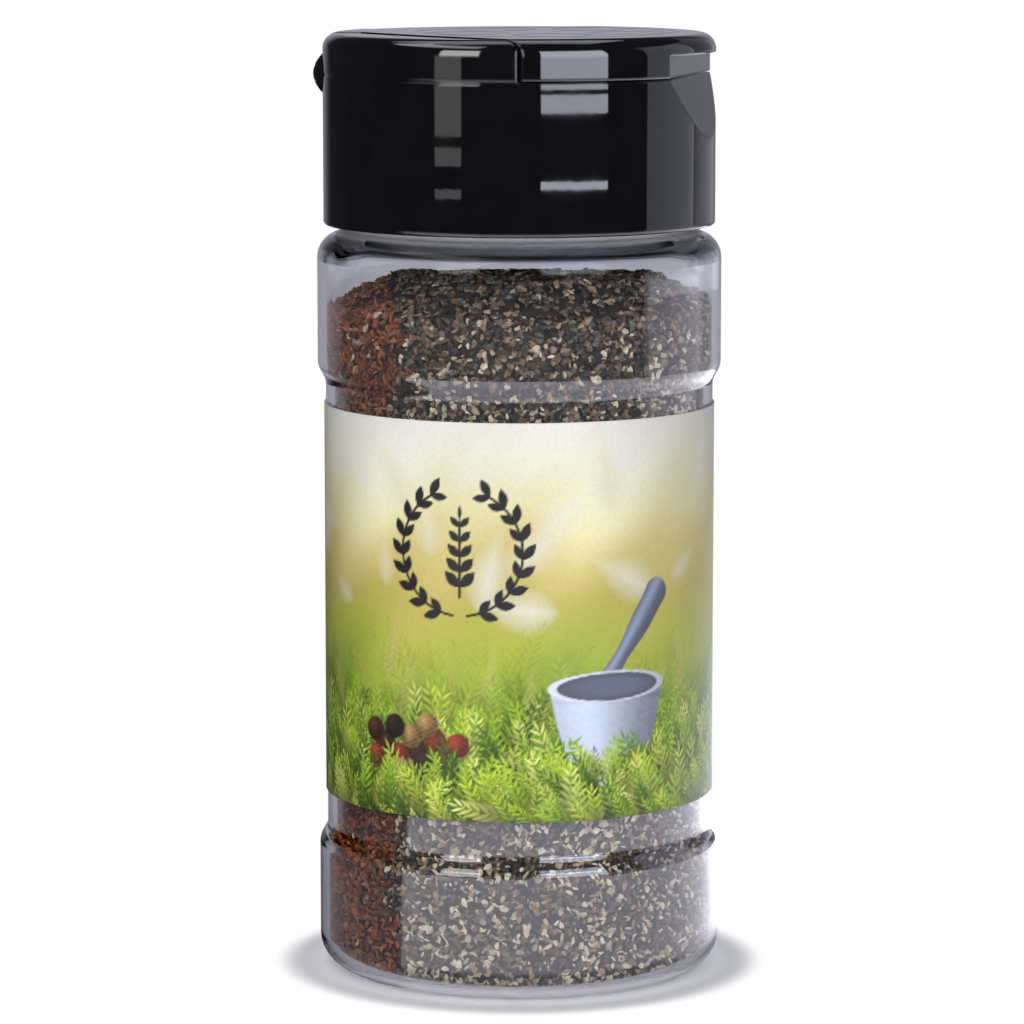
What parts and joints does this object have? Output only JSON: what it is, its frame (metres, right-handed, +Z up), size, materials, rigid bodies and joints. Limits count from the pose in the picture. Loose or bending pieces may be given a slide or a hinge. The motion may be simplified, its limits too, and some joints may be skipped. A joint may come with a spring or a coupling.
{
  "type": "spice shaker jar",
  "caption": "Clear plastic spice jar with a wrap label, coarse seasoning and a screw-on flip-top cap with a sifter deck.",
  "frame": {"origin": "middle of the face the jar stands on", "axes": "+Z up along the jar's axis; the label's front looks along -Y; the thumb lip is 15 degrees from +X towards -Y"},
  "size_m": [0.0485, 0.048, 0.1118],
  "materials": {
    "jar": "gloss",
    "label": "satin",
    "seasoning": "matte",
    "cap": "gloss",
    "liner": "matte"
  },
  "bodies": {
    "jar": {"jar": "jar", "label": "label", "seasoning": "seasoning"},
    "liner": {"seal_liner": "liner"},
    "cap": {"cap_body": "cap", "living_hinge": "cap"},
    "flap": {"flap": "cap"}
  },
  "joints": [
    {"name": "cap_rise", "type": "slide", "parent": "jar", "child": "liner", "axis": [0, 0, 1], "range_m": [0, 0.00794]},
    {"name": "cap_turn", "type": "hinge", "parent": "liner", "child": "cap", "pos_m": [0, 0, 0.1], "axis": [0, 0, 1], "range_deg": [0, 675]},
    {"name": "flap_open", "type": "hinge", "parent": "cap", "child": "flap", "pos_m": [-0.02304, 0.00617, 0.1069], "axis": [-0.2588, -0.9659, 0], "range_deg": [0, 180], "deforming": ["living_hinge"]}
  ],
  "couplings": [
    {"joint": "cap_rise", "follows": "cap_turn", "m_per_rad": 0.00067376}
  ]
}
